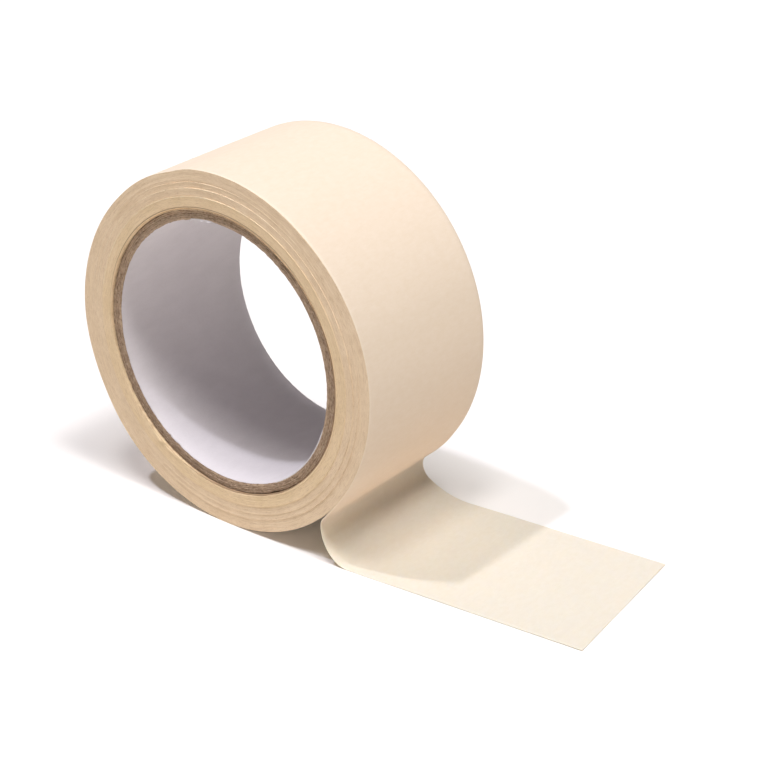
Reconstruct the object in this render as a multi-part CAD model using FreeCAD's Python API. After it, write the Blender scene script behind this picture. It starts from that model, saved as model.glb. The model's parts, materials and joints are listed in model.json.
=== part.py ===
"""A part-used roll of paper masking tape, standing on its tread with the loose end turned back along the table.

Frame: the origin is on the bore's axis, halfway across the tape. +Y runs along the bore, from the front side
to the back side, +X points the way the loose end lies, and +Z is up. All sizes are in millimetres.
"""
import FreeCAD
import Part
import math
import os

V = FreeCAD.Vector
TO_BACK = V(0, 1, 0)
UP = V(0, 0, 1)

# Tape: creped paper with a layer of adhesive on one side
TAPE_WIDTH = 50.0
BACKING_THICKNESS = 0.11
ADHESIVE_THICKNESS = 0.03
TAPE_THICKNESS = BACKING_THICKNESS + ADHESIVE_THICKNESS

# Core: board plies wound on one white paper liner, cut to the tape's width
BORE_RADIUS = 38.0
LINER_THICKNESS = 0.35
PLY_THICKNESS = 0.53
PLY_COUNT = 5
CORE_RADIUS = BORE_RADIUS + LINER_THICKNESS + PLY_COUNT * PLY_THICKNESS

# Winding, from the core outwards. The turns lie in bands, and each band is wound a little further back
# than the one inside it, so its edge steps back on the front side and stands forward by as much on the other.
# The first turn, on the core, and the outermost turn are pieces of their own.
BAND_TURNS = (4, 22, 16, 12, 24)
BAND_STEP = 0.08
FIRST_TURN_RADIUS = CORE_RADIUS + TAPE_THICKNESS
WOUND_RADIUS = FIRST_TURN_RADIUS + sum(BAND_TURNS) * TAPE_THICKNESS
TREAD_RADIUS = WOUND_RADIUS + TAPE_THICKNESS

# Loose end: it leaves the roll low on one side, turns back on itself and lies flat on the table.
# It starts HELD_ANGLE before its first edge leaves the tread, and CREASE_GAP is where its flat stretch hinges.
# Angles are in degrees, measured round the bore's axis from +X towards +Z.
PEEL_CLEARANCE = 0.1
LOOSE_LENGTH = 99.0
END_SLANT = 1.1
SIDEWAYS_LEAN = 5.1
HELD_ANGLE = 1.6
CREASE_GAP = 0.2

# Each edge of the turned-back loop: the angle at which it leaves the tread, a straight run, and three arcs that
# turn it to vertical, to a slope, and level. The lengths are in proportion, and landed_loop fits them to the drop.
# PEEL_SHARE of the straight run lies beside the place where the other edge is still on the tread.
FRONT_LOOP = {
    "leaving_angle": -39.4,
    "straight": 6.8,
    "tight": 4.0,
    "wide": 12.7,
    "slope_angle": -44.0,
    "landing": 7.5,
}
BACK_LOOP = {
    "leaving_angle": -50.8,
    "straight": 0.6,
    "tight": 3.5,
    "wide": 5.3,
    "slope_angle": -33.0,
    "landing": 25.0,
}
PEEL_SHARE = 0.9

FIRST_LEAVING_ANGLE = max(FRONT_LOOP["leaving_angle"], BACK_LOOP["leaving_angle"])
HOLD_START_ANGLE = FIRST_LEAVING_ANGLE + HELD_ANGLE
VERTICAL = -90.0
LEVEL = 0.0
TABLE_Z = -TREAD_RADIUS
HOLD_RADIUS = TREAD_RADIUS + PEEL_CLEARANCE


def save(node, shape):
    """Writes one sub-part under its node's name."""
    shape.exportStep("parts/" + node + ".step")


def ring(inner_radius, outer_radius, shift=0.0):
    """A ring of the tape's width round the bore's axis, moved forward by shift."""
    front = V(0, -TAPE_WIDTH / 2 - shift, 0)
    outside = Part.makeCylinder(outer_radius, TAPE_WIDTH, front, TO_BACK)
    inside = Part.makeCylinder(inner_radius, TAPE_WIDTH, front, TO_BACK)
    return outside.cut(inside)


def core_plies():
    """The board plies, from the liner outwards."""
    first_radius = BORE_RADIUS + LINER_THICKNESS
    radii = [first_radius + i * PLY_THICKNESS for i in range(PLY_COUNT + 1)]
    return [ring(inner, outer) for inner, outer in zip(radii, radii[1:])]


def wound_tape():
    """All the turns between the first and the outermost, as one solid with its bands stepped along the bore."""
    inner_radius = FIRST_TURN_RADIUS
    bands = []
    for i, turns in enumerate(BAND_TURNS):
        outer_radius = inner_radius + turns * TAPE_THICKNESS
        bands.append(ring(inner_radius, outer_radius, (len(BAND_TURNS) - 1 - i) * BAND_STEP))
        inner_radius = outer_radius
    return bands[0].multiFuse(bands[1:]).removeSplitter()


def direction(heading):
    """The unit step along a heading in the X-Z plane, where 0 is +X and -90 is straight down."""
    angle = math.radians(heading)
    return V(math.cos(angle), 0, math.sin(angle))


def backing_side(heading):
    """The unit step from the adhesive to the backing, where the tape runs along a heading."""
    return direction(heading + 90)


def arc_between(start, radius, heading, next_heading):
    """The middle and the end of an arc that leaves start along heading and turns left to next_heading."""
    centre = start + backing_side(heading) * radius
    middle_heading = (heading + next_heading) / 2
    return centre - backing_side(middle_heading) * radius, centre - backing_side(next_heading) * radius


def landed_loop(loop):
    """The loop with its lengths scaled together, so that it comes level exactly on the table."""
    start = direction(loop["leaving_angle"]) * HOLD_RADIUS
    leaving = loop["leaving_angle"] - 90
    end = start + direction(leaving) * loop["straight"]
    for name, heading, next_heading in loop_arcs(loop):
        end = arc_between(end, loop[name], heading, next_heading)[1]
    scale = (start.z - TABLE_Z) / (start.z - end.z)
    scaled = {name: loop[name] * scale for name in ("straight", "tight", "wide", "landing")}
    return dict(loop, **scaled)


def loop_arcs(loop):
    """The loop's arcs in order: the name of the radius, the heading that it starts from and the one it ends on."""
    leaving = loop["leaving_angle"] - 90
    slope = loop["slope_angle"]
    return [("tight", leaving, VERTICAL), ("wide", VERTICAL, slope), ("landing", slope, LEVEL)]


def held_stretch(from_angle, to_angle):
    """The stretch that follows the tread between two angles."""
    angles = (from_angle, (from_angle + to_angle) / 2, to_angle)
    return [(direction(angle) * HOLD_RADIUS, angle - 90) for angle in angles]


def straight_stretch(start, heading, length):
    """The stretch that runs straight from start."""
    run = direction(heading) * length
    return [(start, heading), (start + run / 2, heading), (start + run, heading)]


def loop_stretches(loop):
    """The adhesive side of one edge, in its own plane, as stretches of (point, heading) at start, middle and end.

    The second stretch is where the tape peels: the edge that leaves first runs straight there, while the other
    still follows the tread.
    """
    stretches = [held_stretch(HOLD_START_ANGLE, FIRST_LEAVING_ANGLE)]
    point, heading = stretches[-1][-1]
    peeled = 0.0
    if loop["leaving_angle"] == FIRST_LEAVING_ANGLE:
        peeled = loop["straight"] * PEEL_SHARE
        stretches.append(straight_stretch(point, heading, peeled))
    else:
        stretches.append(held_stretch(FIRST_LEAVING_ANGLE, loop["leaving_angle"]))
    point, heading = stretches[-1][-1]
    stretches.append(straight_stretch(point, heading, loop["straight"] - peeled))
    for name, heading, next_heading in loop_arcs(loop):
        point = stretches[-1][-1][0]
        middle, end = arc_between(point, loop[name], heading, next_heading)
        stretches.append([(point, heading), (middle, (heading + next_heading) / 2), (end, next_heading)])
    return stretches


def placed(stretches, edge_y):
    """The stretches in the roll's frame. Past its vertical the edge leans sideways, towards +Y."""
    vertical_x = next(s[-1][0].x for s in stretches if s[-1][1] == VERTICAL)
    lean = math.radians(SIDEWAYS_LEAN)
    found = []
    passed = False
    for stretch in stretches:
        row = []
        for point, heading in stretch:
            ahead = point.x - vertical_x if passed else 0.0
            x = vertical_x + ahead * math.cos(lean) if passed else point.x
            row.append((V(x, edge_y + ahead * math.sin(lean), point.z), heading))
        passed = passed or stretch[-1][1] == VERTICAL
        found.append(row)
    return found


def edge_curves(stretches, height):
    """The curves of one edge at a height above the adhesive side."""
    curves = []
    for stretch in stretches:
        start, middle, end = [point + backing_side(heading) * height for point, heading in stretch]
        straight = stretch[0][1] == stretch[-1][1]
        curves.append(Part.makeLine(start, end) if straight else Part.Arc(start, middle, end).toShape())
    return curves


def first_point(curve):
    return curve.valueAt(curve.FirstParameter)


def last_point(curve):
    return curve.valueAt(curve.LastParameter)


def loop_layer(front, back, low, high):
    """One layer of the turned-back loop, between two heights above the adhesive side."""
    corners = [edge_curves(front, low), edge_curves(front, high), edge_curves(back, high), edge_curves(back, low)]
    faces = []
    for i, curves in enumerate(corners):
        following = corners[(i + 1) % len(corners)]
        faces += [Part.makeRuledSurface(a, b) for a, b in zip(curves, following)]
    for end_point, index in ((first_point, 0), (last_point, -1)):
        front_low, front_high, back_high, back_low = [end_point(curves[index]) for curves in corners]
        faces.append(Part.makeRuledSurface(Part.makeLine(front_low, front_high), Part.makeLine(back_low, back_high)))
    shell = Part.makeShell(faces)
    shell.sewShape()
    layer = Part.makeSolid(shell)
    if layer.Volume < 0:
        layer.reverse()
    return layer


def path_length(loop):
    """How much tape one edge of the loop takes up, from where the loose end starts to where it lies level."""
    held = math.radians(HOLD_START_ANGLE - loop["leaving_angle"]) * HOLD_RADIUS
    turned = sum(math.radians(after - before) * loop[name] for name, before, after in loop_arcs(loop))
    return held + loop["straight"] + turned


def flat_layer(front_landing, back_landing, front_length, back_length, low, high):
    """One layer of the stretch that lies on the table."""
    along = V(math.cos(math.radians(SIDEWAYS_LEAN)), math.sin(math.radians(SIDEWAYS_LEAN)), 0)
    corners = [
        front_landing + along * CREASE_GAP,
        front_landing + along * front_length,
        back_landing + along * back_length,
        back_landing + along * CREASE_GAP,
    ]
    outline = Part.makePolygon([corner + UP * low for corner in corners + corners[:1]])
    return Part.Face(outline).extrude(UP * (high - low))


def build():
    os.makedirs("parts", exist_ok=True)

    save("core_liner", ring(BORE_RADIUS, BORE_RADIUS + LINER_THICKNESS))
    for number, ply in enumerate(core_plies(), 1):
        save("core_ply_" + str(number), ply)

    save("first_turn", ring(CORE_RADIUS, FIRST_TURN_RADIUS))
    save("wound_tape", wound_tape())
    save("outer_turn_adhesive", ring(WOUND_RADIUS, WOUND_RADIUS + ADHESIVE_THICKNESS))
    save("outer_turn_backing", ring(WOUND_RADIUS + ADHESIVE_THICKNESS, TREAD_RADIUS))

    front_loop = landed_loop(FRONT_LOOP)
    back_loop = landed_loop(BACK_LOOP)
    front = placed(loop_stretches(front_loop), -TAPE_WIDTH / 2)
    back = placed(loop_stretches(back_loop), TAPE_WIDTH / 2)
    front_length = LOOSE_LENGTH - path_length(front_loop)
    back_length = LOOSE_LENGTH - END_SLANT - path_length(back_loop)
    layers = {"adhesive": (0.0, ADHESIVE_THICKNESS), "backing": (ADHESIVE_THICKNESS, TAPE_THICKNESS)}
    for layer, (low, high) in layers.items():
        save("tail_bend_" + layer, loop_layer(front, back, low, high))
        landings = front[-1][-1][0], back[-1][-1][0]
        save("tail_strip_" + layer, flat_layer(*landings, front_length, back_length, low, high))


build()
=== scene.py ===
"""Looks of a part-used roll of paper masking tape: the wound turns, the board core and the loose end that is
turned back along the table. Lengths are named in millimetres and become metres where a mesh is made.
Angles are measured round the bore's axis from +X towards +Z.
"""
import bpy
import json
import math
import numpy as np
from mathutils import Matrix, Vector


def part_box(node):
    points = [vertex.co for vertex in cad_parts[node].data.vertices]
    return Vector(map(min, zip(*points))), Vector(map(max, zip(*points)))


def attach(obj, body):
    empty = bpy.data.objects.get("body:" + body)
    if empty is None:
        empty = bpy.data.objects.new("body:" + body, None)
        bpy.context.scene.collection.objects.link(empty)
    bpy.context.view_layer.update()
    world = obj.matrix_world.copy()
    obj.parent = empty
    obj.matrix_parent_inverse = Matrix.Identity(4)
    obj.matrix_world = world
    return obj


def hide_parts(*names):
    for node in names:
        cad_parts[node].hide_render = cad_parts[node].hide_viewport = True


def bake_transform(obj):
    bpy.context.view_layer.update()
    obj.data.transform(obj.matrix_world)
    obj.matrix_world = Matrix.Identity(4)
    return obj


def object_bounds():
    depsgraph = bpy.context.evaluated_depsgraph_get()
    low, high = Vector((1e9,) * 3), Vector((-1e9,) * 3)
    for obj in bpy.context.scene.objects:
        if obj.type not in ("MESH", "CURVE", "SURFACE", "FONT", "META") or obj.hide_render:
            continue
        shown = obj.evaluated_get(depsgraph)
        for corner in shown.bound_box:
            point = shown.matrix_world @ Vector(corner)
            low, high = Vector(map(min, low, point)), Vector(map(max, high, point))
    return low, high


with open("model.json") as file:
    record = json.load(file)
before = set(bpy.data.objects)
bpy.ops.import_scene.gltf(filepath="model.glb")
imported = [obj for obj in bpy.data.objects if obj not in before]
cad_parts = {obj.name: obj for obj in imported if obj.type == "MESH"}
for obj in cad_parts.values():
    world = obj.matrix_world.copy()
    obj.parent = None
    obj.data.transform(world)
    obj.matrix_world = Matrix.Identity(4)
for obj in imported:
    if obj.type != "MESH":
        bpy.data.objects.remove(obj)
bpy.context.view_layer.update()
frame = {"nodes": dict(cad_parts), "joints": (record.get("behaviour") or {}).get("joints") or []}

MM = 0.001
TAU = 2 * math.pi


# ---------------------------------------------------------------- sizes that the frame gives

def ring_radii(node):
    """The inner and outer radius of a ring node, in millimetres."""
    radii = [math.hypot(v.co.x, v.co.z) / MM for v in frame["nodes"][node].data.vertices]
    return min(radii), max(radii)


PLIES = sorted(name for name in frame["nodes"] if name.startswith("core_ply_"))
BORE_RADIUS, LINER_RADIUS = ring_radii("core_liner")
FIRST_INNER, FIRST_OUTER = ring_radii("first_turn")
WOUND_INNER, WOUND_OUTER = ring_radii("wound_tape")
GLUE_INNER, GLUE_OUTER = ring_radii("outer_turn_adhesive")
PAPER_INNER, TREAD_RADIUS = ring_radii("outer_turn_backing")
TAPE_THICKNESS = TREAD_RADIUS - GLUE_INNER
HALF_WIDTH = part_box("outer_turn_backing")[1].y / MM
FRONT_STAND = -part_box("wound_tape")[0].y / MM - HALF_WIDTH
TABLE_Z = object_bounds()[0].z / MM

# The winding's bands, from the core outwards, in turns. Each lies a little behind the one inside it.
BAND_TURNS = (4, 22, 16, 12, 24)
BAND_ENDS = np.cumsum(BAND_TURNS)


# ---------------------------------------------------------------- random fields and meshes

def rough(rng, rows, columns, row_blur, column_blur=0.0):
    """A random field of unit spread that closes on itself, blurred over so many rows and columns."""
    row_waves = np.fft.fftfreq(rows)[:, None] * row_blur
    column_waves = np.fft.fftfreq(columns)[None, :] * column_blur
    spectrum = np.fft.fft2(rng.standard_normal((rows, columns)))
    spectrum *= np.exp(-2 * (math.pi * row_waves) ** 2 - 2 * (math.pi * column_waves) ** 2)
    field = np.fft.ifft2(spectrum).real
    return field / field.std()


def wave(rng, angles, first, last):
    """A smooth random wave round the roll, made of the harmonics from first to last."""
    total = np.zeros_like(angles)
    for k in range(first, last + 1):
        total += rng.normal() / math.sqrt(k) * np.cos(k * angles + rng.uniform(0, TAU))
    return total / max(abs(total).max(), 1e-9)


def near(angles, middle, half_width):
    """1 at an angle in degrees, falling smoothly to 0 at half_width degrees from it."""
    away = np.abs((np.degrees(angles) - middle + 180) % 360 - 180) / half_width
    return np.where(away < 1, np.cos(np.minimum(away, 1) * math.pi / 2) ** 2, 0)


# Faces that meet at a sharper angle than this keep a hard edge.
SHARP_ANGLE = math.radians(50)


def grid_mesh(name, points, grain, closed_rows, closed_columns, face_materials, materials, caps=False):
    """A mesh of quads over points[row, column], in millimetres. face_materials gives each column's material,
    and caps closes the first and the last row of a flat tube."""
    rows, columns = points.shape[:2]
    index = np.arange(rows * columns).reshape(rows, columns)
    if closed_rows:
        index = np.vstack([index, index[:1]])
    if closed_columns:
        index = np.hstack([index, index[:, :1]])
    quads = np.stack([index[:-1, :-1], index[:-1, 1:], index[1:, 1:], index[1:, :-1]], axis=-1)
    indices = np.broadcast_to(np.asarray(face_materials), quads.shape[:2]).reshape(-1)
    quads = quads.reshape(-1, 4)
    if caps:
        half = np.arange(columns // 2 - 1)
        cap = np.stack([half, half + 1, columns - 2 - half, columns - 1 - half], axis=-1)
        quads = np.vstack([quads, cap[:, ::-1], cap + (rows - 1) * columns])
        indices = np.append(indices, np.zeros(2 * len(cap), int))
    mesh = bpy.data.meshes.new(name)
    mesh.from_pydata((points.reshape(-1, 3) * MM).tolist(), [], quads.tolist())
    for material in materials:
        mesh.materials.append(material)
    mesh.polygons.foreach_set("material_index", indices.astype(np.int32))
    attribute = mesh.attributes.new("grain", "FLOAT_VECTOR", "POINT")
    attribute.data.foreach_set("vector", (grain.reshape(-1, 3) * MM).astype(np.float32).ravel())
    mesh.shade_smooth()
    mesh.set_sharp_from_angle(angle=SHARP_ANGLE)
    mesh.update()
    piece = bpy.data.objects.new(name, mesh)
    bpy.context.scene.collection.objects.link(piece)
    return piece


def ring_piece(name, angles, radii, ys, face_materials, materials, node):
    """A closed ring that turns with the roll. Its section runs outwards on the front side, back along the
    outside, inwards on the back side and forward along the inside."""
    around = angles[:, None]
    points = np.stack([radii * np.cos(around), ys, radii * np.sin(around)], axis=-1)
    piece = grid_mesh(name, points, points, True, True, face_materials, materials)
    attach(piece, "roll")
    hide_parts(node)
    return piece


# ---------------------------------------------------------------- materials

def colour(red, green, blue):
    """A linear colour from its sRGB values, 0 to 255."""
    def linear(value):
        share = value / 255
        return share / 12.92 if share <= 0.04045 else ((share + 0.055) / 1.055) ** 2.4
    return linear(red), linear(green), linear(blue), 1.0


# Colours. A pair is the darker and the paler end of a slow drift of tone.
PAPER = (colour(245, 227, 207), colour(248, 231, 213))
CREPE_HOLLOWS = colour(235, 212, 182)
PAPER_RIM_HIGHLIGHT = colour(255, 241, 221)
INNER_EDGES = (colour(244, 218, 180), colour(251, 225, 190))
OUTER_EDGES = (colour(242, 217, 187), colour(250, 226, 197))
EDGE_LINES = colour(201, 167, 132)
EDGE_BANDS = colour(252, 228, 195)
EDGE_FLECKS = colour(191, 157, 119)
INNER_TURN_BROWN = colour(158, 124, 98)
PAINTED_GAP_SHADE = colour(126, 97, 74)
RIDGE_HIGHLIGHT_COLOUR = colour(255, 243, 221)
ADHESIVE_FILM = (colour(244, 222, 184), colour(249, 228, 192))
BOARD_TONES = (colour(185, 159, 138), colour(210, 183, 157))
DARK_BOARD = colour(119, 96, 79)
PALE_BOARD = colour(226, 200, 176)
DARK_FIBRES = colour(98, 77, 62)
PALE_FIBRES = colour(216, 195, 174)
LINER_TONES = (colour(229, 224, 229), colour(233, 228, 233))
LINER_FIBRES = colour(212, 201, 203)

# Wear and dirt. Angles are in degrees round the roll, lengths in millimetres and shares from 0 to 1.

# The tape's front rim has a painted highlight, full up to the first distance in and gone past the second.
RIM_HIGHLIGHT = (0.3, 1.1)

# Light starts to pass through the loose end at the first length along it, and passes fully from the second.
GLOW_STRETCH = (9, 15)
GLOW_DEPTH = 0.6

# The turns are more golden inside the first radius than outside the second. The turns next to the core are
# browner on one side of the roll.
GOLDEN_UP_TO = (44.7, 45.1)
BROWN_DEPTH = 0.3
BROWN_ANGLE = -35

# The innermost band stands a hair apart from the next one, round one angle, and the gap's shade is
# painted there as a dark line. The last turns of the bands stand furthest out round another, where a
# painted highlight lies on them. The shares are those of the second, third and fourth bands. The gap's
# painted shade lies a little outside its band's end, and the painted highlights a little inside.
GAP_ANGLE = 105
GAP_OFFSET = 0.03
GAP_SHARE = 0.7
RIDGE_ANGLE = 122
RIDGE_HIGHLIGHTS = (0.6, 0.45, 0.35)
RIDGE_HIGHLIGHT_INSET = 0.1

# How dark each ply's outer glue line is, from the bore outwards, and how far inside the ply's edge it
# lies. The board's cut end is darker round one angle and paler round another.
GLUE_LINES = (0.15, 0.25, 0.6, 0.3, 0.9)
GLUE_LINE_INSET = 0.18
DARKER_ANGLE = 228
PALER_ANGLE = 100

# A hairline has its full strength up to LINE_MIDDLE from its radius, and has faded at its half width.
LINE_MIDDLE = 0.06
THIN_LINE = 0.16
WIDE_LINE = 0.26


class Nodes:
    """A node tree and short ways to add to it."""

    def __init__(self, tree):
        self.tree = tree

    def add(self, kind, inputs=(), **settings):
        """A node with its settings and inputs. An input is a number, a colour or another node's output."""
        node = self.tree.nodes.new(kind)
        for setting, value in settings.items():
            setattr(node, setting, value)
        for socket, value in dict(inputs).items():
            if isinstance(value, bpy.types.NodeSocket):
                self.tree.links.new(value, node.inputs[socket])
            else:
                node.inputs[socket].default_value = value
        return node

    def math(self, operation, first, second=0.0):
        return self.add("ShaderNodeMath", {0: first, 1: second}, operation=operation).outputs[0]

    def vector(self, operation, first, second=(0, 0, 0)):
        return self.add("ShaderNodeVectorMath", {0: first, 1: second}, operation=operation)

    def grain(self):
        """The place on the piece at rest, in metres, with Y across the tape."""
        return self.add("ShaderNodeAttribute", attribute_name="grain").outputs["Vector"]

    def flat(self):
        """The place on the piece as seen along the roll's axis."""
        return self.vector("MULTIPLY", self.grain(), (1, 0, 1)).outputs[0]

    def radius(self, flat):
        """A flat place's distance from the roll's axis."""
        return self.vector("LENGTH", flat).outputs["Value"]

    def heading(self, flat):
        """A flat place's direction from the roll's axis, as a unit step."""
        return self.vector("NORMALIZE", flat).outputs[0]

    def scaled(self, place, per_x, per_y, per_z):
        """The place multiplied along each axis, which gives noise so many cells for each of its units."""
        return self.vector("MULTIPLY", place, (per_x, per_y, per_z)).outputs[0]

    def noise(self, place, detail=3.0, roughness=0.55):
        """Noise with about one cell for each unit of the place."""
        inputs = {"Vector": place, "Scale": 1.0, "Detail": detail, "Roughness": roughness}
        return self.add("ShaderNodeTexNoise", inputs).outputs["Fac"]

    def span(self, value, low, high, to_low=0.0, to_high=1.0):
        """The value stretched from low..high to to_low..to_high, and held at its ends."""
        inputs = {"Value": value, "From Min": low, "From Max": high, "To Min": to_low, "To Max": to_high}
        return self.add("ShaderNodeMapRange", inputs).outputs[0]

    def mix(self, share, first, second):
        inputs = {0: share, 6: first, 7: second}
        return self.add("ShaderNodeMix", inputs, data_type="RGBA").outputs[2]

    def bump(self, height, distance, strength=1.0, normal=None):
        inputs = {"Height": height, "Distance": distance, "Strength": strength}
        if normal is not None:
            inputs["Normal"] = normal
        return self.add("ShaderNodeBump", inputs).outputs[0]

    def seen_directly(self):
        """1 for the camera's rays and for mirrored or transmitted ones, 0 for the rest."""
        path = self.add("ShaderNodeLightPath").outputs
        mirrored = self.math("MAXIMUM", path["Is Glossy Ray"], path["Is Transmission Ray"])
        return self.math("MAXIMUM", path["Is Camera Ray"], mirrored)


class Finish(Nodes):
    """A material, with the constants of its shader's sockets."""

    def __init__(self, name, **constants):
        self.material = bpy.data.materials.new(name)
        self.material.use_nodes = True
        super().__init__(self.material.node_tree)
        self.shader = self.tree.nodes["Principled BSDF"]
        for socket, value in constants.items():
            self.shader.inputs[socket.replace("_", " ")].default_value = value

    def set(self, socket, value):
        self.tree.links.new(value, self.shader.inputs[socket])


def turn_lines(finish, flat, per_turn, round_scale):
    """A place for noise whose cells follow the turns: per_turn of them to a turn, and long round the roll."""
    along = finish.scaled(finish.heading(flat), round_scale, 0, round_scale)
    across = finish.math("MULTIPLY", finish.radius(flat), per_turn / (TAPE_THICKNESS * MM))
    rise = finish.add("ShaderNodeCombineXYZ", {"Y": across}).outputs[0]
    return finish.vector("ADD", along, rise).outputs[0]


def facing(finish, flat, degrees):
    """The cosine between a place's direction from the axis and an angle round the roll."""
    middle = math.radians(degrees)
    direction = (math.cos(middle), 0, math.sin(middle))
    return finish.vector("DOT_PRODUCT", finish.heading(flat), direction).outputs["Value"]


def hairline(finish, flat, at, half_width, share):
    """A thin line round the roll at a radius: the share along its middle, faded to 0 at its half width."""
    away = finish.math("ABSOLUTE", finish.math("SUBTRACT", finish.radius(flat), at * MM))
    return finish.span(away, LINE_MIDDLE * MM, half_width * MM, share, 0.0)


def patches_round_roll(finish, flat, scale, low, high, least):
    """Patches round the roll, from the least share to 1."""
    patches = finish.noise(finish.scaled(finish.heading(flat), scale, 0, scale), detail=3.0)
    return finish.span(patches, low, high, least, 1.0)


def backing_finish(name, glow):
    """Creped paper: ridges across the tape, a faint cloudiness and a painted highlight along the front rim.
    With a glow above 0, light passes through the loose end where it has left the roll."""
    finish = Finish(name, Specular_IOR_Level=0.25)
    place = finish.grain()
    axes = finish.add("ShaderNodeSeparateXYZ", {0: place}).outputs
    if glow:
        start, full = GLOW_STRETCH
        finish.shader.inputs["Subsurface Scale"].default_value = GLOW_DEPTH * MM
        finish.shader.inputs["Subsurface Radius"].default_value = (1.0, 0.8, 0.6)
        finish.set("Subsurface Weight", finish.span(axes["X"], start * MM, full * MM, 0.0, glow))
    crepe = finish.noise(finish.scaled(place, 1500, 420, 1500), detail=4.0, roughness=0.6)
    cockle = finish.noise(finish.scaled(place, 420, 160, 420), detail=2.0)
    cloud = finish.noise(finish.scaled(place, 620, 420, 620), detail=4.0, roughness=0.6)
    paper = finish.mix(finish.span(cloud, 0.3, 0.7), *PAPER)
    creped = finish.mix(finish.span(crepe, 0.3, 0.62, 0.16, 0.0), paper, CREPE_HOLLOWS)
    # A painted highlight along the paper's front rim.
    highlight_full_to, highlight_none_from = RIM_HIGHLIGHT
    rim = finish.span(axes["Y"], (highlight_full_to - HALF_WIDTH) * MM, (highlight_none_from - HALF_WIDTH) * MM, 0.5, 0.0)
    finish.set("Base Color", finish.mix(rim, creped, PAPER_RIM_HIGHLIGHT))
    finish.set("Roughness", finish.span(crepe, 0.3, 0.7, 0.66, 0.8))
    broad = finish.bump(cockle, 0.06 * MM, 0.6)
    finish.set("Normal", finish.bump(crepe, 0.035 * MM, 0.8, broad))
    return finish.material


def edge_finish():
    """The cut edges of the turns: fine lines of paper and adhesive, with a slight drift of tone."""
    finish = Finish("cut_tape_edges", Roughness=0.8, Specular_IOR_Level=0.2)
    place = finish.grain()
    flat = finish.flat()
    radius = finish.radius(flat)
    fine = finish.noise(turn_lines(finish, flat, 1.1, 26), detail=2.0, roughness=0.6)
    bands = finish.noise(turn_lines(finish, flat, 0.22, 3), detail=2.0)
    cloud = finish.noise(finish.scaled(place, 160, 160, 160), detail=4.0)
    fleck = finish.noise(finish.scaled(place, 2600, 900, 2600), detail=2.0)
    drift = finish.span(cloud, 0.35, 0.65)
    golden_to, pale_from = GOLDEN_UP_TO
    outwards = finish.span(radius, golden_to * MM, pale_from * MM)
    base = finish.mix(outwards, finish.mix(drift, *INNER_EDGES), finish.mix(drift, *OUTER_EDGES))
    lined = finish.mix(finish.span(fine, 0.30, 0.55, 0.5, 0.0), base, EDGE_LINES)
    banded = finish.mix(finish.span(bands, 0.5, 0.7, 0.0, 0.5), lined, EDGE_BANDS)
    browned = finish.mix(brown_share(finish, flat), banded, INNER_TURN_BROWN)
    # Painted shade in the gap between the innermost band and the next.
    gap_shaded = finish.mix(gap_shade_share(finish, flat), browned, PAINTED_GAP_SHADE)
    # Painted highlights on the proud ends of the bands, near the top of the roll.
    highlit = finish.mix(ridge_highlight_share(finish, flat), gap_shaded, RIDGE_HIGHLIGHT_COLOUR)
    finish.set("Base Color", finish.mix(finish.span(fleck, 0.28, 0.42, 0.2, 0.0), highlit, EDGE_FLECKS))
    finish.set("Normal", finish.bump(fine, 0.05 * MM, 0.6))
    return finish.material


def brown_share(finish, flat):
    """The share of brown on the turns next to the core, on one side of the roll."""
    inmost = finish.span(finish.radius(flat), WOUND_INNER * MM, (WOUND_INNER + BROWN_DEPTH) * MM, 0.7, 0.0)
    return finish.math("MULTIPLY", inmost, finish.span(facing(finish, flat, BROWN_ANGLE), 0.2, 0.5))


def gap_shade_share(finish, flat):
    """The share of painted gap shade between the innermost band and the next, over the top of the roll."""
    edge = WOUND_INNER + BAND_ENDS[0] * TAPE_THICKNESS + GAP_OFFSET
    top = finish.span(facing(finish, flat, GAP_ANGLE), 0.2, 0.7)
    return finish.math("MULTIPLY", top, hairline(finish, flat, edge, THIN_LINE, GAP_SHARE))


def ridge_highlight_share(finish, flat):
    """The share of painted highlight on the edge of the last turn of each band, near the top of the roll."""
    share = 0.0
    for turns, most in zip(BAND_ENDS[1:-1], RIDGE_HIGHLIGHTS):
        edge = WOUND_INNER + turns * TAPE_THICKNESS - RIDGE_HIGHLIGHT_INSET
        share = finish.math("ADD", hairline(finish, flat, edge, WIDE_LINE, most), share)
    top = finish.span(facing(finish, flat, RIDGE_ANGLE), 0.3, 0.9)
    patchy = finish.math("MULTIPLY", top, patches_round_roll(finish, flat, 30, 0.38, 0.58, 0.25))
    return finish.math("MULTIPLY", share, patchy)


def adhesive_finish():
    """The adhesive side: a thin pale film over the paper, smoother and glossier than the crepe."""
    finish = Finish("adhesive")
    place = finish.grain()
    ripple = finish.noise(finish.scaled(place, 700, 240, 700), detail=3.0)
    cloud = finish.noise(finish.scaled(place, 200, 200, 200), detail=3.0)
    finish.set("Base Color", finish.mix(finish.span(cloud, 0.35, 0.65), *ADHESIVE_FILM))
    finish.set("Roughness", finish.span(ripple, 0.3, 0.7, 0.28, 0.5))
    finish.set("Normal", finish.bump(ripple, 0.03 * MM, 0.6))
    return finish.material


def ply_lines(finish, flat):
    """The share of dark glue line: where each ply ends and the next begins, seen on the board's cut end."""
    share = 0.0
    for node, darkest in zip(PLIES, GLUE_LINES):
        line = ring_radii(node)[1] - GLUE_LINE_INSET
        share = finish.math("ADD", hairline(finish, flat, line, THIN_LINE, darkest), share)
    return finish.math("MULTIPLY", share, patches_round_roll(finish, flat, 18, 0.38, 0.6, 0.35))


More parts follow.
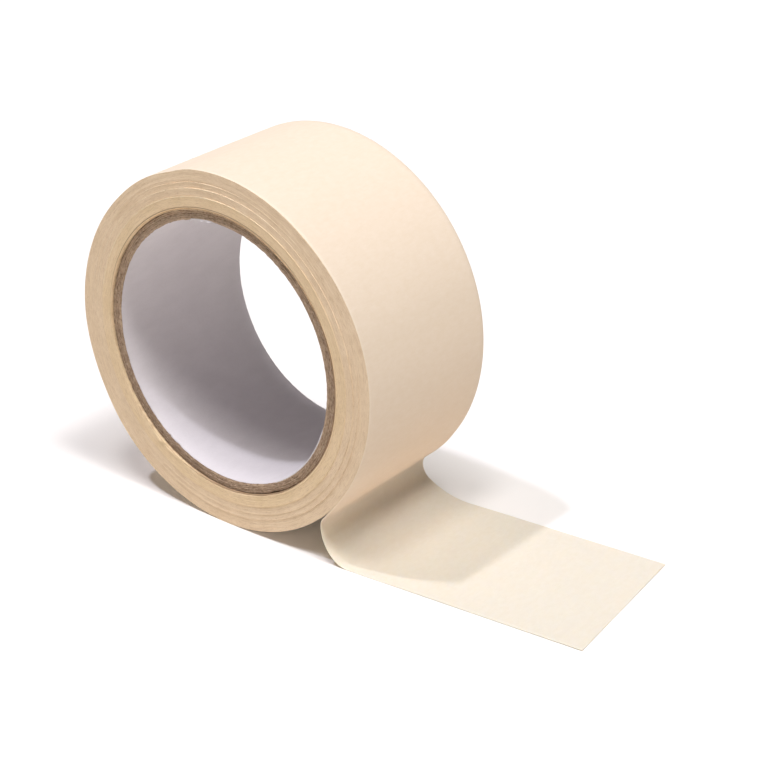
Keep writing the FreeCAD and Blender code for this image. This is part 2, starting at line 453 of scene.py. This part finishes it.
def board_finish():
    """Grey-brown board, cut across its plies: fibres, dark specks and pale flecks."""
    finish = Finish("grey_board", Roughness=0.95, Specular_IOR_Level=0.1)
    place = finish.grain()
    flat = finish.flat()
    layers = finish.noise(turn_lines(finish, flat, 0.5, 12), detail=3.0, roughness=0.6)
    fibre = finish.noise(turn_lines(finish, flat, 0.36, 42), detail=4.0, roughness=0.7)
    cloud = finish.noise(finish.scaled(place, 380, 200, 380), detail=3.0)
    base = finish.mix(finish.span(cloud, 0.35, 0.65), *BOARD_TONES)
    # The cut end is darker round one angle and paler round another.
    darker_share = finish.span(facing(finish, flat, DARKER_ANGLE), 0.7, 0.97, 0.0, 0.38)
    base = finish.mix(darker_share, base, DARK_BOARD)
    paler_share = finish.span(facing(finish, flat, PALER_ANGLE), 0.5, 1.0, 0.0, 0.3)
    base = finish.mix(paler_share, base, PALE_BOARD)
    base = finish.mix(ply_lines(finish, flat), base, DARK_FIBRES)
    layered = finish.mix(finish.span(layers, 0.32, 0.6, 0.55, 0.0), base, DARK_BOARD)
    flecked = finish.mix(finish.span(fibre, 0.52, 0.66, 0.0, 0.6), layered, PALE_FIBRES)
    specks = finish.span(fibre, 0.30, 0.46, 0.7, 0.0)
    finish.set("Base Color", finish.mix(specks, flecked, DARK_FIBRES))
    rough_normal = finish.bump(fibre, 0.2 * MM, 0.8)
    finish.set("Normal", finish.bump(layers, 0.1 * MM, 0.5, rough_normal))
    return finish.material


def liner_finish():
    """White calendered paper inside the core."""
    finish = Finish("white_liner", Roughness=0.8, Specular_IOR_Level=0.08)
    place = finish.grain()
    cloud = finish.noise(finish.scaled(place, 260, 120, 260), detail=4.0, roughness=0.6)
    fibre = finish.noise(finish.scaled(place, 1900, 1300, 1900), detail=3.0)
    base = finish.mix(finish.span(cloud, 0.36, 0.64), *LINER_TONES)
    finish.set("Base Color", finish.mix(finish.span(fibre, 0.3, 0.5, 0.1, 0.0), base, LINER_FIBRES))
    soft = finish.bump(cloud, 0.05 * MM, 0.4)
    finish.set("Normal", finish.bump(fibre, 0.02 * MM, 0.5, soft))
    return finish.material


BACKING = backing_finish("creped_paper", 0.0)
TAIL_BACKING = backing_finish("loose_creped_paper", 0.6)
EDGES = edge_finish()
ADHESIVE = adhesive_finish()
BOARD = board_finish()
LINER = liner_finish()


# ---------------------------------------------------------------- the winding

# The roll isn't perfectly round. Angles are in degrees and depths in millimetres. A dent is its middle,
# its half width and its depth. Where the loose end leaves, the tread keeps its full radius: up to
# round_to degrees from the middle of that stretch, and less and less up to hollow_from.
WAVER = 0.05
LONG_FLAT = {"start": 99, "end": 184, "in_over": 8, "out_over": 40, "depth": 0.40}
FRONT_DENTS = ((110, 7, 0.17), (135, 15, 0.16), (204, 24, 0.36))
LEAVING_STRETCH = {"middle": -50, "round_to": 18, "hollow_from": 30}
ROUND_STEPS = 480
ROUND = np.arange(ROUND_STEPS) / ROUND_STEPS * TAU


def smooth_step(values, low, high):
    """0 up to low and 1 from high, with a smooth rise between them."""
    share = np.clip((values - low) / (high - low), 0, 1)
    return share * share * (3 - 2 * share)


def hollows(angles, ys):
    """How far the tread lies inside its full radius, at each angle and place across the tape. It keeps its
    full radius where the loose end leaves it."""
    rng = np.random.default_rng(7)
    degrees = np.degrees(angles) % 360
    front_wave = wave(rng, angles, 2, 9)
    back_wave = wave(rng, angles, 2, 9)
    share = np.clip((ys + HALF_WIDTH) / (2 * HALF_WIDTH), 0, 1)
    depth = WAVER * (1 - (front_wave * (1 - share) + back_wave * share)) / 2
    flat = LONG_FLAT
    front = flat["depth"] * smooth_step(degrees, flat["start"], flat["start"] + flat["in_over"])
    front = front * (1 - smooth_step(degrees, flat["end"] - flat["out_over"], flat["end"]))
    for middle, half_width, dent in FRONT_DENTS:
        front = front + dent * near(angles, middle, half_width)
    stretch = LEAVING_STRETCH
    signed = (degrees + 180) % 360 - 180
    fade = smooth_step(np.abs(signed - stretch["middle"]), stretch["round_to"], stretch["hollow_from"])
    return (depth + front * (1 - share) ** 1.5) * fade


def squeezed(radii, ys, angles):
    """The radii with the tread's hollows pressed into the winding, less and less towards the core."""
    depth = np.clip((radii - FIRST_OUTER) / (TREAD_RADIUS - FIRST_OUTER), 0, 1)
    return radii - hollows(angles[:, None], ys) * depth ** 2


# How far the last turn of each band stands proud on the front side. They are highest within
# RIDGE_HALF_WIDTH of RIDGE_ANGLE, and broken round another angle. The innermost turns sink beside the
# turn on the core, and stand out raggedly in one place. Two radii, STEP_HALF to either side of a band's
# end, make the step between two bands sharp.
RIDGES = (0.03, 0.115, 0.095, 0.085)
RIDGE_HALF_WIDTH = 72
BROKEN_RIDGES = (262, 75)
STEP_HALF = 0.02
INNER_GROOVE = {"depth": 0.45, "width": 0.22}
RAGGED_PATCH = {"angle": 236, "half_width": 12, "radius": 41.9, "height": 0.16}

# The outermost turns lie furthest back on one side, from this radius outwards.
SET_BACK = {"angle": 12, "half_width": 48, "depth": 0.6, "radius": 45.5}


def set_back(angles, radii):
    """How far the front edges of the outer turns lie back, at each angle and radius."""
    share = np.clip((radii - SET_BACK["radius"]) / (TREAD_RADIUS - SET_BACK["radius"]), 0, 1)
    return SET_BACK["depth"] * near(angles, SET_BACK["angle"], SET_BACK["half_width"])[:, None] * share


def turn_radii():
    """The winding's radius at each turn and the band that it belongs to, with two radii where a band ends."""
    turns = round((WOUND_OUTER - WOUND_INNER) / TAPE_THICKNESS)
    radii, bands = [], []
    for turn in range(turns + 1):
        at_end = turn in BAND_ENDS[:-1]
        radius = WOUND_INNER + turn * TAPE_THICKNESS
        radii += [radius - STEP_HALF, radius + STEP_HALF] if at_end else [radius]
        band = int(np.searchsorted(BAND_ENDS, turn))
        bands += [band, band + 1] if at_end else [min(band, len(BAND_ENDS) - 1)]
    return np.array(radii), np.array(bands)


def turn_drift(rng, turns):
    """How far each turn's edge lies from its neighbours', with a slow drift and a quick one."""
    return 0.02 * rough(rng, ROUND_STEPS, turns, 40, 3) + 0.014 * rough(rng, ROUND_STEPS, turns, 9)


def band_ridge(rng, broken, radii, turn, height):
    """How far the turns beside a band's end lie back: the last ones stand proud, and the next ones sink."""
    ridge = (0.3 + 0.7 * near(ROUND, RIDGE_ANGLE, RIDGE_HALF_WIDTH)) * (1 + 0.3 * wave(rng, ROUND, 2, 9))
    ridge = ridge * np.clip(1 + 0.4 * rough(rng, ROUND_STEPS, 1, 2)[:, 0], 0.2, 1.8)
    gaps = np.clip(1.5 * rough(broken, ROUND_STEPS, 1, 5)[:, 0], -1, 0.5)
    ridge = ridge * (1 + near(ROUND, *BROKEN_RIDGES) * gaps)
    edge = WOUND_INNER + turn * TAPE_THICKNESS
    outside = (radii - edge) / TAPE_THICKNESS
    proud = np.where(outside < 0, np.exp(outside / 3), 0)
    sunk = np.where(outside > 0, np.exp(-outside / 3), 0)
    return height * ridge[:, None] * (0.35 * sunk - proud)[None, :]


def wound_turns():
    """Every turn between the first and the outermost. Each turn's edges lie a little before or behind its
    neighbours', and the bands step back on the front side as they do in the frame's solid."""
    rng = np.random.default_rng(11)
    broken = np.random.default_rng(12)
    radii, bands = turn_radii()
    step = FRONT_STAND / (len(BAND_ENDS) - 1)
    depth = np.zeros((ROUND_STEPS, len(radii)))
    heights = [1 + 0.35 * wave(rng, ROUND, 1, 5) for _ in BAND_ENDS[:-1]]
    for i, height in enumerate(heights):
        depth += np.where(bands[None, :] > i, step * height[:, None], 0)
    front_drift = turn_drift(rng, len(radii))
    for turn, height in zip(BAND_ENDS[:-1], RIDGES):
        depth += band_ridge(rng, broken, radii, turn, height)
    groove = 0.7 + 0.5 * wave(rng, ROUND, 2, 7)
    sinking = np.exp((WOUND_INNER - radii) / INNER_GROOVE["width"])
    depth += INNER_GROOVE["depth"] * groove[:, None] * sinking[None, :]
    patch = near(ROUND, RAGGED_PATCH["angle"], RAGGED_PATCH["half_width"])
    patch = patch * (1 + 0.5 * rough(rng, ROUND_STEPS, 1, 1)[:, 0])
    depth -= RAGGED_PATCH["height"] * patch[:, None] * (radii < RAGGED_PATCH["radius"])[None, :]
    front = -HALF_WIDTH - FRONT_STAND + depth + front_drift + set_back(ROUND, radii[None, :])
    back = HALF_WIDTH - FRONT_STAND + depth + turn_drift(rng, len(radii))
    both = np.broadcast_to(np.concatenate([radii, radii[::-1]]), (ROUND_STEPS, 2 * len(radii)))
    ys = np.hstack([front, back[:, ::-1]])
    ring_piece("wound_turns", ROUND, squeezed(both, ys, ROUND), ys, 0, [EDGES], "wound_tape")


def outer_turn_layer(name, inner, outer, wall, materials, node):
    """One layer of the outermost turn. Its walls follow the tread's hollows, and wall is the material of the
    outer one."""
    rng = np.random.default_rng(5)
    rim, inset, across = 0.03, 1.5, 22
    width = 2 * HALF_WIDTH
    places = np.concatenate([[0, rim], np.linspace(inset, width - inset, across), [width - rim]])
    places = np.append(places, width) - HALF_WIDTH
    edge = 0.02 * wave(rng, ROUND, 2, 14)[:, None]
    ys = np.broadcast_to(places, (ROUND_STEPS, len(places))) + edge
    ys[:, :2] += set_back(ROUND, np.array([[TREAD_RADIUS]]))
    radii = np.full(ys.shape, outer)
    radii[:, [0, -1]] -= min(rim, (outer - inner) / 3)
    ys = np.hstack([ys, ys[:, ::-1]])
    radii = np.hstack([radii, np.full(radii.shape, inner)])
    faces = np.zeros(ys.shape[1], int)
    faces[:len(places) - 1] = wall
    return ring_piece(name, ROUND, squeezed(radii, ys, ROUND), ys, faces, materials, node)


def plain_ring(name, inner, outer, samples, front, back, material, node, angles):
    """A ring whose ends are given at each angle and radius, and whose walls are plain."""
    radii = np.linspace(inner, outer, samples)
    both = np.broadcast_to(np.concatenate([radii, radii[::-1]]), (len(angles), 2 * samples))
    ys = np.hstack([front, back[:, ::-1]])
    return ring_piece(name, angles, both, ys, 0, [material], node)


# The turn on the core isn't sunk here. Clearances are between the pieces of neighbouring layers.
SEATED_STRETCH = (122, 45)
TURN_CLEARANCE = 0.02
GLUE_CLEARANCE = 0.003


def first_turn():
    """The turn on the core. Its edge is ragged and sinks behind its neighbours in places."""
    rng = np.random.default_rng(23)
    level = 0.10 * (1 - near(ROUND, *SEATED_STRETCH))
    sunk = level + 0.12 * wave(rng, ROUND, 2, 12) + 0.04 * rough(rng, ROUND_STEPS, 1, 1.2)[:, 0]
    samples = 3
    sunk = np.repeat(np.clip(sunk, -0.05, 0.4)[:, None], samples, axis=1)
    front = -HALF_WIDTH - FRONT_STAND + sunk
    inner, outer = FIRST_INNER + TURN_CLEARANCE, FIRST_OUTER - TURN_CLEARANCE
    plain_ring("first_turn_paper", inner, outer, samples, front, HALF_WIDTH - sunk, EDGES,
               "first_turn", ROUND)


# The core's front end lies a little inside the winding, and the outermost ply sinks further at its last two
# radii. Angles are in degrees, and a place round the core is its middle and its half width.
CORE_RECESS = {"most": 0.42, "least": 0.04, "least_angle": -10, "half_width": 110}
OUTER_GROOVE = (0.35, 0.9)
PLY_CLEARANCE = 0.015
PLY_SAMPLES = 7
CORE_STEPS = 900
CORE_ANGLES = np.arange(CORE_STEPS) / CORE_STEPS * TAU

# The saw has dragged the innermost ply's fibres over the liner's edge as a lip, and the liner shows past it
# only in a few places. The lip may reach a little into the bore, and is never narrower than its least.
DRAGGED_THICKNESS = 0.22
DRAGGED_INSIDE = 0.30
LIP_INTO_BORE = 0.1
LIP_LEAST = 0.05
LIP_BEVEL = {"front": 0.03, "inside": 0.04}
BARE_LINER = ((320, 32), (98, 9))

# The innermost ply is cut more smoothly here than elsewhere, by this share.
SMOOTH_SIDE = (20, 80)
SMOOTHER_BY = 0.75

# What the saw left: a ply's number with a place and the depth of the mark, the liner's curled burrs with
# their heights, and the nicks in its edge.
SAW_MARKS = {0: (49, 2.5, -0.28), 1: (51, 2.0, 0.3), 4: (297, 2.6, 3.0)}
LINER_BURRS = ((104.5, 1.5, 1.2), (97.5, 2.2, 0.9), (94, 2.2, 1.1), (78, 2.0, 0.5), (150, 1.6, 0.3))
LINER_NICKS = ((242, 2), (236, 1))
NICK_DEPTH = 0.3

# A burr of height 1 curls inwards by so much at the liner's edge, by less at the next row of points, and
# outwards past the edge.
BURR_CURL = {"edge": 0.30, "next_row": 0.12, "outwards": 0.25}

# Distances from the liner's ends at which its wall has a row of points. It keeps a clearance from the board,
# the lip and the bore's full radius, and reaches a little past the lip where it is bare. Its wall is dented
# outwards by no more than DEEPEST_DENT.
LINER_ROWS = np.array([0, 0.25, 0.8, 2, 5, 10, 17])
LINER_CLEARANCE = {"board": 0.01, "lip": 0.03, "bore": 0.04}
BARE_PAST_LIP = 0.06
DEEPEST_DENT = 0.06


def core_recess(angles):
    """How far the core's front end lies behind the outermost turn's edge, at each angle."""
    less = CORE_RECESS["most"] - CORE_RECESS["least"]
    return CORE_RECESS["most"] - less * near(angles, CORE_RECESS["least_angle"], CORE_RECESS["half_width"])


def bare_liner(angles):
    """1 where the liner's cut edge lies open, and 0 where fibres cover it."""
    bare = sum(near(angles, middle, half_width) for middle, half_width in BARE_LINER)
    return smooth_step(bare, 0.1, 0.4)


def sawn_end(rng, calm, recess):
    """How far one sawn end of a ply lies inside the outermost turn's edge, at each angle and radius."""
    fuzz = 0.05 * rough(rng, CORE_STEPS, PLY_SAMPLES, 1.5, 0.8) * calm
    level = 0.07 * wave(rng, CORE_ANGLES, 1, 8)[:, None] + rng.uniform(-0.03, 0.05) + recess
    rounding = 0.05 * np.abs(np.linspace(-1, 1, PLY_SAMPLES)) ** 4
    return fuzz + level + rounding


def dragged_ply(rng, node, front, back, calm):
    """The innermost ply. A thin ragged lip of its fibres lies over the liner's edge."""
    inner, outer = ring_radii(node)
    radii = np.broadcast_to(np.linspace(inner, outer - PLY_CLEARANCE, PLY_SAMPLES), front.shape)
    ragged = 0.05 * rough(rng, CORE_STEPS, 1, 1.6) + 0.04 * wave(rng, CORE_ANGLES, 3, 20)[:, None]
    ragged *= calm
    covered = 1 - bare_liner(CORE_ANGLES)[:, None]
    reach = inner - DRAGGED_INSIDE * covered + ragged
    lip = np.clip(reach, BORE_RADIUS - LIP_INTO_BORE, inner - LIP_LEAST)
    lip_front = front[:, :1] + LIP_BEVEL["front"]
    lip_back = -HALF_WIDTH + core_recess(CORE_ANGLES)[:, None] + DRAGGED_THICKNESS
    radii = np.hstack([lip, radii, radii[:, ::-1], radii[:, :1], lip + LIP_BEVEL["inside"]])
    ys = np.hstack([lip_front, front, back[:, ::-1], lip_back, lip_back])
    ring_piece("board_ply_1", CORE_ANGLES, radii, ys, 0, [BOARD], node)


def core_plies():
    """The board plies. Their sawn ends are fuzzy, and each stands a little different from the next."""
    smoother = 1 - SMOOTHER_BY * near(CORE_ANGLES, *SMOOTH_SIDE)[:, None]
    for number, node in enumerate(PLIES):
        rng = np.random.default_rng(31 + number)
        calm = smoother if number == 0 else 1
        front = -HALF_WIDTH + sawn_end(rng, calm, core_recess(CORE_ANGLES)[:, None])
        back = HALF_WIDTH - sawn_end(rng, calm, 0.0)
        if number == len(PLIES) - 1:
            front[:, -2:] += np.array(OUTER_GROOVE) * (0.8 + 0.3 * wave(rng, CORE_ANGLES, 2, 9))[:, None]
        if number in SAW_MARKS:
            middle, half_width, depth = SAW_MARKS[number]
            front[:, 2:] += depth * near(CORE_ANGLES, middle, half_width)[:, None]
        if number == 0:
            dragged_ply(rng, node, front, back, calm)
            continue
        inner, outer = ring_radii(node)
        plain_ring("board_ply_" + str(number + 1), inner, outer - PLY_CLEARANCE, PLY_SAMPLES, front, back,
                   BOARD, node, CORE_ANGLES)


def liner():
    """The white paper inside the core, with a ragged cut edge that curls over in a few places."""
    rng = np.random.default_rng(41)
    angles = CORE_ANGLES
    burr = sum(height * near(angles, middle, half_width) for middle, half_width, height in LINER_BURRS)
    nick = sum(near(angles, middle, half_width) for middle, half_width in LINER_NICKS)
    behind_lip = core_recess(angles) + DRAGGED_THICKNESS + LINER_CLEARANCE["lip"]
    ends = []
    for behind, share in ((behind_lip, 1.0), (0.0, 0.0)):
        fuzz = np.abs(0.04 * rough(rng, CORE_STEPS, 1, 1.2)[:, 0]) + 0.02 * (1 + wave(rng, angles, 3, 20))
        bare = share * (DRAGGED_THICKNESS + BARE_PAST_LIP) * bare_liner(angles)
        ends.append(HALF_WIDTH - behind + bare - np.clip(fuzz, 0, 0.15) - share * NICK_DEPTH * nick)
    inside = np.hstack([-(ends[0][:, None] - LINER_ROWS), ends[1][:, None] - LINER_ROWS[::-1]])
    dents = 0.03 * rough(rng, CORE_STEPS, inside.shape[1], 30, 1.5)
    inner = BORE_RADIUS + LINER_CLEARANCE["bore"] + np.clip(dents, -LINER_CLEARANCE["bore"], DEEPEST_DENT)
    inner[:, 0] -= BURR_CURL["edge"] * burr
    inner[:, 1] -= BURR_CURL["next_row"] * burr
    curled = inside.copy()
    curled[:, 0] -= BURR_CURL["outwards"] * burr
    outer = np.full(inner.shape, LINER_RADIUS - LINER_CLEARANCE["board"])
    radii = np.hstack([outer, inner[:, ::-1]])
    ys = np.hstack([inside, curled[:, ::-1]])
    ring_piece("liner_paper", angles, radii, ys, 0, [LINER], "core_liner")


# ---------------------------------------------------------------- the loose end

# Each edge of the tape leaves the tread at its own angle, runs straight, and turns in three arcs to
# vertical, to a slope and level. The lengths are in proportion, and are scaled so that the edge comes
# level on the table. PEEL_SHARE of the straight run lies beside the place where the other edge is still
# on the tread.
SIDEWAYS_LEAN = math.radians(5.1)
HOLD_START_ANGLE = -36.0
FIRST_LEAVING_ANGLE = -39.4
PEEL_CLEARANCE = 0.004
PEEL_SHARE = 0.9
FRONT_LOOP = {
    "leaves": FIRST_LEAVING_ANGLE,
    "straight": 6.8,
    "tight": 4.0,
    "wide": 12.7,
    "slope": -44.0,
    "landing": 7.5,
}
BACK_LOOP = {
    "leaves": -50.8,
    "straight": 0.6,
    "tight": 3.5,
    "wide": 5.3,
    "slope": -33.0,
    "landing": 25.0,
}

# How many steps each stretch of an edge is drawn in, the same for both edges.
EDGE_STEPS = {"held": 10, "peeling": 14, "straight": 4, "tight": 14, "wide": 20, "landing": 16, "flat": 80}
HOLD_RADIUS = TREAD_RADIUS + PEEL_CLEARANCE

# The sheet starts at a share of its thickness on the tread, and thickens over a length. Along the table it
# lifts unevenly by a few tenths. Its columns are crowded towards its two edges.
THICKENING = {"start": 0.03, "over": 5.0}
LIFT = {"from": 36, "over": 14, "mean": 0.12, "uneven": 0.6, "most": 0.4}
TAIL_COLUMNS = 48
EDGE_CROWDING = 0.35


def unit(degrees):
    """The unit step along a heading in the X-Z plane."""
    return np.array([math.cos(math.radians(degrees)), math.sin(math.radians(degrees))])


class EdgeLine:
    """One edge of the tape's adhesive side, drawn forward from the tread in its own plane."""

    def __init__(self, angle):
        self.points = [HOLD_RADIUS * unit(angle)]
        self.headings = [angle - 90.0]

    def bend(self, radius, heading, steps):
        """Turns to a heading round an arc: to the left, or to the right where the radius is negative."""
        before = self.headings[-1]
        centre = self.points[-1] + radius * unit(before + 90)
        for step in range(1, steps + 1):
            turned = before + (heading - before) * step / steps
            self.points.append(centre - radius * unit(turned + 90))
            self.headings.append(turned)

    def run(self, length, steps):
        """Goes straight on."""
        start, heading = self.points[-1], self.headings[-1]
        for step in range(1, steps + 1):
            self.points.append(start + unit(heading) * length * step / steps)
            self.headings.append(heading)


def loop_line(loop, scale):
    """An edge from where it is still held on the tread to where it comes level, and the number of the point
    at which it has turned to vertical."""
    line = EdgeLine(HOLD_START_ANGLE)
    line.bend(-HOLD_RADIUS, FIRST_LEAVING_ANGLE - 90, EDGE_STEPS["held"])
    peeled = 0.0
    if loop["leaves"] == FIRST_LEAVING_ANGLE:
        peeled = PEEL_SHARE
        line.run(loop["straight"] * scale * peeled, EDGE_STEPS["peeling"])
    else:
        line.bend(-HOLD_RADIUS, loop["leaves"] - 90, EDGE_STEPS["peeling"])
    line.run(loop["straight"] * scale * (1 - peeled), EDGE_STEPS["straight"])
    line.bend(loop["tight"] * scale, -90.0, EDGE_STEPS["tight"])
    turned = len(line.points) - 1
    line.bend(loop["wide"] * scale, loop["slope"], EDGE_STEPS["wide"])
    line.bend(loop["landing"] * scale, 0.0, EDGE_STEPS["landing"])
    return line, turned


def landed_edge(loop, edge_y, end_ahead):
    """An edge in the roll's frame, out to the loose end. Past its vertical it leans sideways, and end_ahead
    gives how far ahead of that place it ends."""
    start_z = HOLD_RADIUS * unit(loop["leaves"])[1]
    falls = [start_z - loop_line(loop, scale)[0].points[-1][1] for scale in (0.0, 1.0)]
    scale = (start_z - TABLE_Z - falls[0]) / (falls[1] - falls[0])
    line, turned = loop_line(loop, scale)
    turned_x = line.points[turned][0]
    line.run(end_ahead(turned_x) - (line.points[-1][0] - turned_x), EDGE_STEPS["flat"])
    points = np.array(line.points)
    ahead = np.where(np.arange(len(points)) > turned, points[:, 0] - turned_x, 0)
    xs = np.where(ahead > 0, turned_x + ahead * math.cos(SIDEWAYS_LEAN), points[:, 0])
    return np.stack([xs, edge_y + ahead * math.sin(SIDEWAYS_LEAN), points[:, 1]], axis=-1)


def lengths_along(line):
    """The length of a line up to each of its points."""
    return np.concatenate([[0], np.cumsum(np.linalg.norm(np.diff(line, axis=0), axis=1))])


def loose_end():
    """The tape's free end as one closed sheet: peeled off the tread, turned back and laid along the table."""
    end_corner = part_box("tail_strip_backing")[1] / MM
    front = landed_edge(FRONT_LOOP, -HALF_WIDTH, lambda x: (end_corner.x - x) / math.cos(SIDEWAYS_LEAN))
    back = landed_edge(BACK_LOOP, HALF_WIDTH, lambda x: (end_corner.y - HALF_WIDTH) / math.sin(SIDEWAYS_LEAN))
    share = np.linspace(0, 1, TAIL_COLUMNS)
    share = (1 - np.cos(share * math.pi)) / 2 * EDGE_CROWDING + share * (1 - EDGE_CROWDING)
    under = front[:, None] * (1 - share)[None, :, None] + back[:, None] * share[None, :, None]
    along_step = np.gradient(under, axis=0)
    across_step = np.gradient(under, axis=1)
    normal = np.cross(along_step, across_step)
    normal /= np.linalg.norm(normal, axis=-1, keepdims=True)
    if normal[-1, 0, 2] < 0:
        normal = -normal
    lengths = np.stack([lengths_along(front), lengths_along(back)], axis=1)
    along = lengths[:, :1] * (1 - share) + lengths[:, 1:] * share
    thickness = TAPE_THICKNESS * np.clip(THICKENING["start"] + along / THICKENING["over"], 0, 1)
    over = under + normal * thickness[..., None]
    rng = np.random.default_rng(61)
    landed = np.clip((along - LIFT["from"]) / LIFT["over"], 0, 1)
    lift = LIFT["mean"] * (1 + rough(rng, *along.shape, 14, 9) * LIFT["uneven"]) * landed
    lift = np.clip(lift, 0, LIFT["most"])
    over[..., 2] += lift
    under[..., 2] += lift
    grain_y = np.broadcast_to((share - 0.5) * 2 * HALF_WIDTH, along.shape)
    grain = np.stack([along, grain_y, np.zeros_like(along)], axis=-1)
    points = np.concatenate([under, over[:, ::-1]], axis=1)
    grains = np.concatenate([grain, grain[:, ::-1]], axis=1)
    faces = np.zeros(2 * TAIL_COLUMNS, int)
    faces[:TAIL_COLUMNS - 1] = 1
    piece = grid_mesh("loose_tail", points, grains, False, True, faces, [TAIL_BACKING, ADHESIVE], caps=True)
    joint = next(j for j in frame["joints"] if j["name"] == "tail_lift")
    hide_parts("tail_bend_backing", "tail_bend_adhesive", "tail_strip_backing", "tail_strip_adhesive")
    ahead = Vector(joint["axis"]).cross(Vector((0, 0, 1))).normalized()
    if ahead.x < 0:
        ahead = -ahead
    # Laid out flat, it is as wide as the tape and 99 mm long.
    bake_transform(piece)


wound_turns()
outer_turn_layer("outer_turn_glue", GLUE_INNER + GLUE_CLEARANCE, GLUE_OUTER - GLUE_CLEARANCE, 0, [ADHESIVE],
                 "outer_turn_adhesive")
outer_turn_layer("outer_turn_paper", PAPER_INNER, TREAD_RADIUS, 1, [EDGES, BACKING],
                 "outer_turn_backing")
first_turn()
core_plies()
liner()
loose_end()


# ---------------------------------------------------------------- table, light and camera

# The camera and mirrored rays see the table in one colour, with a faint glow that lifts it to white. The
# light that the table throws on the object has the other colour, and none of the glow.
TABLE_TO_CAMERA = (0.915, 0.903, 0.918, 1)
TABLE_GLOW = (0.068, 0.056, 0.042, 1)
TABLE_TO_OBJECT = (0.79, 0.75, 0.69, 1)
TABLE_HALF = 4000.0
ROOM_LIGHT = (0.07, 0.068, 0.065, 1)
BLACK = (0, 0, 0, 1)
WHITE = (1, 1, 1, 1)

# Each lamp's name, the direction towards it, its irradiance, its spread in degrees and its tint.
LAMPS = (
    ("key", (-0.33, -0.23, 1), 0.30, 2.8, (0.96, 0.965, 1.07)),
    ("second", (0.43, -0.05, 1), 0.21, 12, (1.01, 1.0, 0.97)),
    ("front_softbox", (0.09, -0.26, 1), 0.31, 14, (1.01, 0.985, 0.95)),
    ("right_softbox", (0.364, -0.08, 1), 0.33, 17, (1.0, 0.985, 0.96)),
    ("fill", (0.1, -1, 0.2), 0.052, 20, (1, 1, 1)),
)

# The camera's angles are in degrees, and its lengths in millimetres. It stands back from the roll's
# middle, and is then moved right and up.
CAMERA = {
    "azimuth": 38.93,
    "elevation": 25.79,
    "roll": -0.17,
    "distance": 606.4,
    "right": 28.92,
    "up": -16.59,
}
LENS = 101.58
SENSOR = 36.0
NEAREST, FARTHEST = 10.0, 50000.0


def table():
    """A plain white table. It throws slightly warm light on the object."""
    mesh = bpy.data.meshes.new("table")
    half, z = TABLE_HALF * MM, TABLE_Z * MM
    corners = [(-half, -half, z), (half, -half, z), (half, half, z), (-half, half, z)]
    mesh.from_pydata(corners, [], [(0, 1, 2, 3)])
    finish = Finish("white_table", Roughness=1.0, Specular_IOR_Level=0.0, Emission_Strength=1.0)
    seen = finish.seen_directly()
    finish.set("Base Color", finish.mix(seen, TABLE_TO_OBJECT, TABLE_TO_CAMERA))
    finish.set("Emission Color", finish.mix(seen, BLACK, TABLE_GLOW))
    mesh.materials.append(finish.material)
    piece = bpy.data.objects.new("table", mesh)
    bpy.context.scene.collection.objects.link(piece)


def surroundings():
    """A white room that gives an even, weak light."""
    world = bpy.data.worlds.new("room")
    bpy.context.scene.world = world
    world.use_nodes = True
    nodes = Nodes(world.node_tree)
    background = world.node_tree.nodes["Background"]
    background.inputs["Strength"].default_value = 1.0
    lit = nodes.mix(nodes.seen_directly(), ROOM_LIGHT, WHITE)
    world.node_tree.links.new(lit, background.inputs["Color"])


def lamp(name, towards, irradiance, spread, tint):
    """A distant lamp in the direction towards it. A white surface that faces it shows its irradiance, and its
    spread is the angle that it fills."""
    light = bpy.data.lights.new(name, "SUN")
    light.energy = irradiance * math.pi
    light.angle = math.radians(spread)
    light.color = tint
    piece = bpy.data.objects.new(name, light)
    piece.rotation_mode = "QUATERNION"
    piece.rotation_quaternion = Vector(towards).to_track_quat("Z", "Y")
    bpy.context.scene.collection.objects.link(piece)


def camera():
    """The camera, set round the roll's middle, moved across its own picture and rolled a little in it."""
    azimuth, elevation, roll = (math.radians(CAMERA[angle]) for angle in ("azimuth", "elevation", "roll"))
    level_share = math.cos(elevation)
    back = Vector((math.sin(azimuth) * level_share, -math.cos(azimuth) * level_share, math.sin(elevation)))
    level_right = Vector((math.cos(azimuth), math.sin(azimuth), 0))
    level_up = back.cross(level_right)
    right = level_right * math.cos(roll) + level_up * math.sin(roll)
    up = level_up * math.cos(roll) - level_right * math.sin(roll)
    place = back * CAMERA["distance"] + level_right * CAMERA["right"] + level_up * CAMERA["up"]
    data = bpy.data.cameras.new("camera")
    data.lens = LENS
    data.sensor_width = SENSOR
    data.clip_start = NEAREST * MM
    data.clip_end = FARTHEST * MM
    piece = bpy.data.objects.new("camera", data)
    turned = Matrix((right, up, back)).transposed().to_4x4()
    piece.matrix_world = Matrix.Translation(place * MM) @ turned
    bpy.context.scene.collection.objects.link(piece)
    bpy.context.scene.camera = piece


table()
surroundings()
for lamp_settings in LAMPS:
    lamp(*lamp_settings)
camera()

bpy.context.scene.view_settings.view_transform = "Standard"
